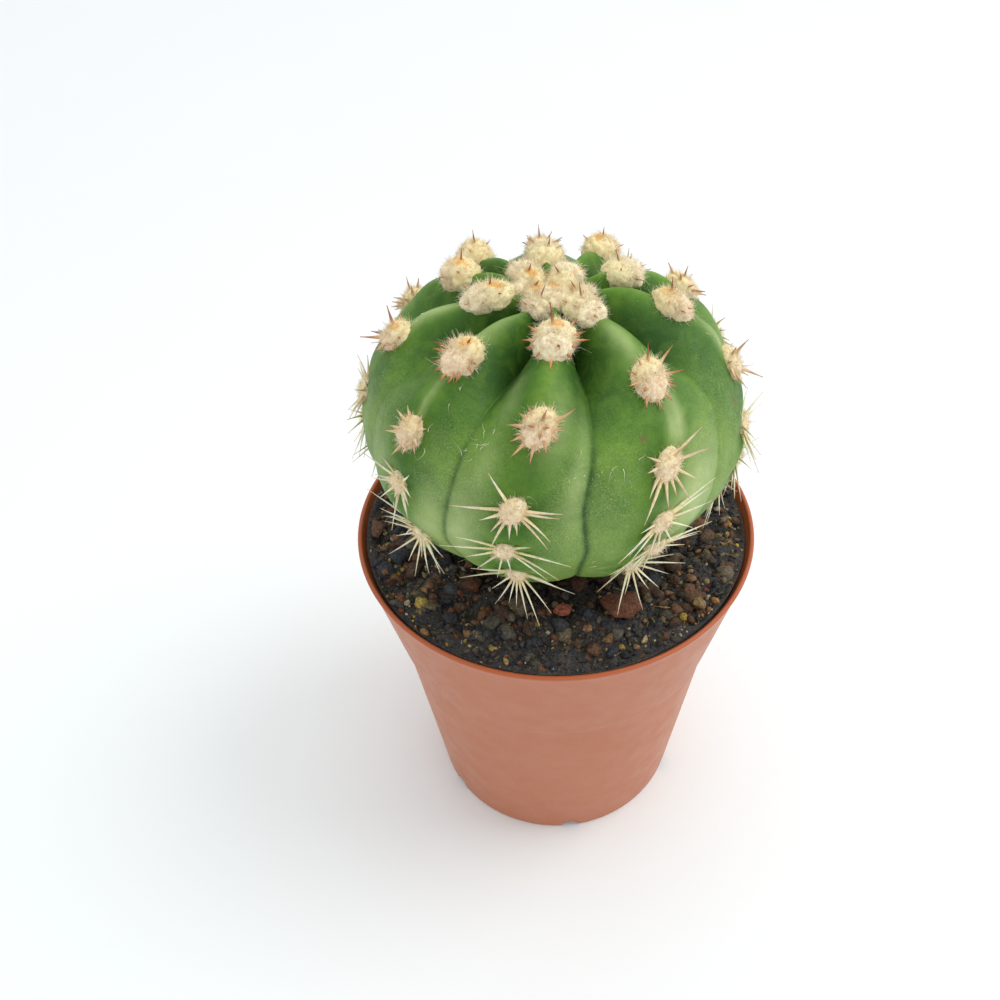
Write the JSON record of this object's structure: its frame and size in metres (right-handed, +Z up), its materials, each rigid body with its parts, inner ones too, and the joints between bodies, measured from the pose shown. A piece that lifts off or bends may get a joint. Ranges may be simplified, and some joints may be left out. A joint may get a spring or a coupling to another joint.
{
  "type": "potted round cactus",
  "caption": "Round ribbed cactus with woolly areoles and short spines, growing in a small tapered terracotta-coloured plastic pot filled with dark potting mix.",
  "frame": {"origin": "centre of the pot's underside, on the surface that it stands on", "axes": "+Z up along the pot's axis, -Y towards the front, +X to the right seen from the front"},
  "size_m": [0.0553, 0.0552, 0.0911],
  "materials": {
    "pot_plastic": "satin",
    "potting_mix": "matte",
    "cactus_skin": "satin",
    "areole_felt": "matte",
    "lava": "matte",
    "pumice": "matte",
    "bark": "matte"
  },
  "bodies": {
    "root": {"pot": "pot_plastic", "soil": "potting_mix", "cactus_stem": "cactus_skin", "crown_wool": "areole_felt", "areole_1_1": "areole_felt", "areole_2_1": "areole_felt", "areole_3_1": "areole_felt", "areole_4_1": "areole_felt", "areole_5_1": "areole_felt", "areole_6_1": "areole_felt", "areole_7_1": "areole_felt", "areole_8_1": "areole_felt", "areole_9_1": "areole_felt", "areole_10_1": "areole_felt", "areole_1_2": "areole_felt", "areole_2_2": "areole_felt", "areole_3_2": "areole_felt", "areole_4_2": "areole_felt", "areole_5_2": "areole_felt", "areole_6_2": "areole_felt", "areole_7_2": "areole_felt", "areole_8_2": "areole_felt", "areole_9_2": "areole_felt", "areole_10_2": "areole_felt", "areole_1_3": "areole_felt", "areole_2_3": "areole_felt", "areole_3_3": "areole_felt", "areole_4_3": "areole_felt", "areole_5_3": "areole_felt", "areole_6_3": "areole_felt", "areole_7_3": "areole_felt", "areole_8_3": "areole_felt", "areole_9_3": "areole_felt", "areole_10_3": "areole_felt", "areole_1_4": "areole_felt", "areole_2_4": "areole_felt", "areole_3_4": "areole_felt", "areole_4_4": "areole_felt", "areole_5_4": "areole_felt", "areole_6_4": "areole_felt", "areole_7_4": "areole_felt", "areole_8_4": "areole_felt", "areole_9_4": "areole_felt", "areole_10_4": "areole_felt", "areole_1_5": "areole_felt", "areole_2_5": "areole_felt", "areole_3_5": "areole_felt", "areole_4_5": "areole_felt", "areole_5_5": "areole_felt", "areole_6_5": "areole_felt", "areole_7_5": "areole_felt", "areole_8_5": "areole_felt", "areole_9_5": "areole_felt", "areole_10_5": "areole_felt", "lava_chip": "lava", "clay_pebble": "lava", "pumice_chip": "pumice", "sandstone_chip": "pumice", "bark_chip": "bark"}
  },
  "joints": []
}
